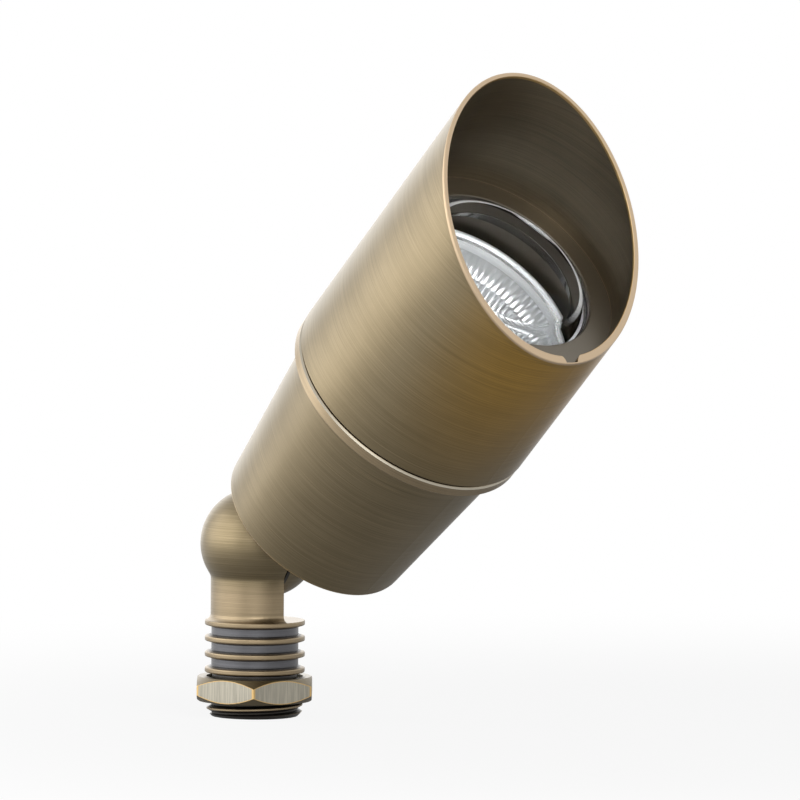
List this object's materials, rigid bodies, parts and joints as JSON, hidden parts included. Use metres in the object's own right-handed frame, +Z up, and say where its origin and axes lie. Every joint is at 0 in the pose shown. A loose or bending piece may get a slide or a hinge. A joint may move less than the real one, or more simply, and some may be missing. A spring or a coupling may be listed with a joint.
{
  "type": "landscape spotlight",
  "caption": "Adjustable landscape spotlight: tapered brass lamp housing with a slanted slip-on glare shroud over a glass lens, on a ball knuckle and a ribbed, threaded stem with a locknut.",
  "frame": {"origin": "centre of the stem's lower end, on the thread's axis", "axes": "+Z up along the stem, away from what it is screwed into; +X the way the head leans; Y along the knuckle's pivot, with the screw's head towards +Y"},
  "size_m": [0.1151, 0.0566, 0.1445],
  "materials": {
    "aged_brass": "brushed and darkened",
    "black_rubber": "matte",
    "stainless_steel": "satin",
    "clear_glass": "polished",
    "reflector_glass": "mirrored facets",
    "frosted_glass": "frosted",
    "white_ceramic": "matte",
    "contact_metal": "tinned",
    "bracket_aluminium": "mill",
    "lead_insulation": "matte silicone"
  },
  "bodies": {
    "stem": {"stem": "aged_brass", "wire_bushing": "black_rubber", "knuckle_seal": "black_rubber"},
    "locknut": {"locknut": "aged_brass"},
    "pivot_screw": {"pivot_screw": "stainless_steel"},
    "head": {"knuckle_ear": "aged_brass", "pivot_washer": "stainless_steel", "ear_gasket": "black_rubber", "ear_nut": "aged_brass", "housing": "aged_brass", "lamp_reflector": "reflector_glass", "lamp_cover_glass": "clear_glass", "lamp_capsule": "frosted_glass", "lamp_base": "white_ceramic", "lamp_pins": "contact_metal", "lamp_socket": "white_ceramic", "socket_contacts": "contact_metal", "socket_bracket": "bracket_aluminium", "bracket_screws": "stainless_steel", "socket_screws": "stainless_steel", "socket_leads": "lead_insulation", "lead_splices": "contact_metal"},
    "shroud_seals": {"shroud_seals": "black_rubber"},
    "shroud": {"shroud": "aged_brass", "lens": "clear_glass", "lens_gasket": "black_rubber", "lens_snap_ring": "stainless_steel"}
  },
  "joints": [
    {"name": "knuckle_tilt", "type": "hinge", "parent": "stem", "child": "head", "pos_m": [0, 0, 0.0384], "axis": [0, 1, 0], "range_deg": [-136, 44]},
    {"name": "shroud_turn", "type": "hinge", "parent": "head", "child": "shroud_seals", "pos_m": [0.00681, 0, 0.03135], "axis": [0.7193, 0, 0.6947], "continuous": true},
    {"name": "shroud_pull", "type": "slide", "parent": "shroud_seals", "child": "shroud", "axis": [0.7193, 0, 0.6947], "range_m": [0, 0.015]},
    {"name": "locknut_spin", "type": "hinge", "parent": "stem", "child": "locknut", "pos_m": [0, 0, 0.0061], "axis": [0, 0, 1], "continuous": true},
    {"name": "pivot_screw_turn", "type": "hinge", "parent": "stem", "child": "pivot_screw", "pos_m": [0, 0, 0.0384], "axis": [0, 1, 0], "continuous": true}
  ]
}
